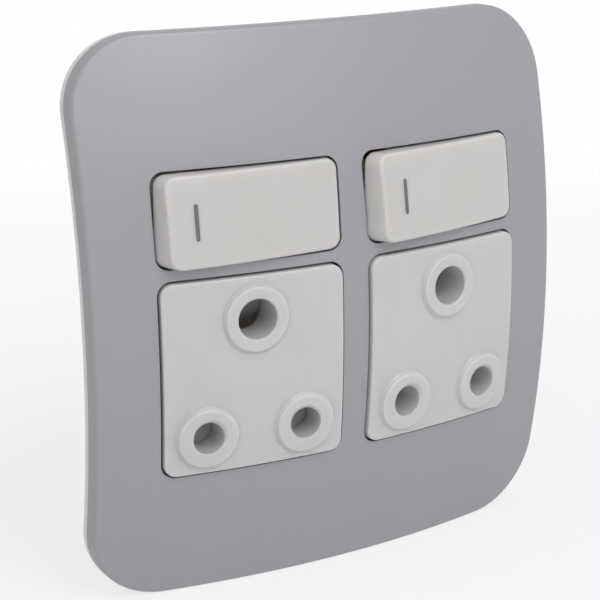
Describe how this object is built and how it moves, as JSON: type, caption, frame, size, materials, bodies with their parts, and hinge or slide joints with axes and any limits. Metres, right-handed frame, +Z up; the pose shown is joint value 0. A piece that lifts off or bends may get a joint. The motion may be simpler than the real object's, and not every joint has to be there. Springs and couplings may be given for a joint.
{
  "type": "round-pin twin switched socket outlet",
  "caption": "Domed silver wall plate with round three-pin socket outlets side by side, each with a wide rocker switch above it and shuttered pin holes.",
  "frame": {"origin": "plate centre on the wall plane", "axes": "+X to the right, +Y into the wall, +Z up; the front faces -Y"},
  "size_m": [0.1326, 0.0464, 0.1392],
  "materials": {
    "silver_plastic": "satin metallic paint",
    "frame_plastic": "moulded satin",
    "face_plastic": "moulded satin",
    "rocker_plastic": "moulded satin",
    "module_plastic": "moulded",
    "plunger_plastic": "moulded",
    "shutter_plastic": "moulded",
    "brass_parts": "pressed",
    "spring_steel": "drawn",
    "screw_steel": "zinc plated"
  },
  "bodies": {
    "frame": {"cover_plate": "silver_plastic", "back_frame": "frame_plastic", "left_module_body": "module_plastic", "left_rear_cover": "module_plastic", "left_socket_face": "face_plastic", "left_line_terminal": "brass_parts", "left_live_contact": "brass_parts", "left_neutral_contact": "brass_parts", "left_earth_contact": "brass_parts", "left_terminal_screws": "screw_steel", "left_case_screws": "screw_steel", "left_shutter_springs": "spring_steel", "right_module_body": "module_plastic", "right_rear_cover": "module_plastic", "right_socket_face": "face_plastic", "right_line_terminal": "brass_parts", "right_live_contact": "brass_parts", "right_neutral_contact": "brass_parts", "right_earth_contact": "brass_parts", "right_terminal_screws": "screw_steel", "right_case_screws": "screw_steel", "right_shutter_springs": "spring_steel"},
    "left_rocker": {"left_rocker": "rocker_plastic", "left_plunger_spring": "spring_steel"},
    "left_plunger": {"left_plunger": "plunger_plastic"},
    "left_contact_lever": {"left_contact_lever": "brass_parts"},
    "left_shutter": {"left_shutter": "shutter_plastic"},
    "right_rocker": {"right_rocker": "rocker_plastic", "right_plunger_spring": "spring_steel"},
    "right_plunger": {"right_plunger": "plunger_plastic"},
    "right_contact_lever": {"right_contact_lever": "brass_parts"},
    "right_shutter": {"right_shutter": "shutter_plastic"}
  },
  "joints": [
    {"name": "left_rocker_hinge", "type": "hinge", "parent": "frame", "child": "left_rocker", "pos_m": [-0.02647, -0.0144, 0.02698], "axis": [0, 0, 1], "range_deg": [-10, 0]},
    {"name": "left_plunger_slide", "type": "slide", "parent": "left_rocker", "child": "left_plunger", "axis": [-0.0257, -0.9997, 0], "range_m": [0, 0.0006], "stiffness_N_per_m": 600, "deforming": ["left_plunger_spring"]},
    {"name": "left_contact_lever_hinge", "type": "hinge", "parent": "frame", "child": "left_contact_lever", "pos_m": [-0.02448, 0.00318, 0.02698], "axis": [0, 0, 1], "range_deg": [0, 15]},
    {"name": "left_shutter_slide", "type": "slide", "parent": "frame", "child": "left_shutter", "axis": [0, 0, 1], "range_m": [0, 0.0092], "stiffness_N_per_m": 60, "springref_m": -0.006, "deforming": ["left_shutter_springs"]},
    {"name": "right_rocker_hinge", "type": "hinge", "parent": "frame", "child": "right_rocker", "pos_m": [0.02647, -0.0144, 0.02698], "axis": [0, 0, 1], "range_deg": [-10, 0]},
    {"name": "right_plunger_slide", "type": "slide", "parent": "right_rocker", "child": "right_plunger", "axis": [0.1989, -0.98, 0], "range_m": [0, 0.0006], "stiffness_N_per_m": 600, "deforming": ["right_plunger_spring"]},
    {"name": "right_contact_lever_hinge", "type": "hinge", "parent": "frame", "child": "right_contact_lever", "pos_m": [0.02448, 0.00318, 0.02698], "axis": [0, 0, 1], "range_deg": [0, 15]},
    {"name": "right_shutter_slide", "type": "slide", "parent": "frame", "child": "right_shutter", "axis": [0, 0, 1], "range_m": [0, 0.0092], "stiffness_N_per_m": 60, "springref_m": -0.006, "deforming": ["right_shutter_springs"]}
  ],
  "couplings": [
    {"joint": "left_contact_lever_hinge", "follows": "left_rocker_hinge", "ratio": -1.5},
    {"joint": "right_contact_lever_hinge", "follows": "right_rocker_hinge", "ratio": -1.5}
  ]
}
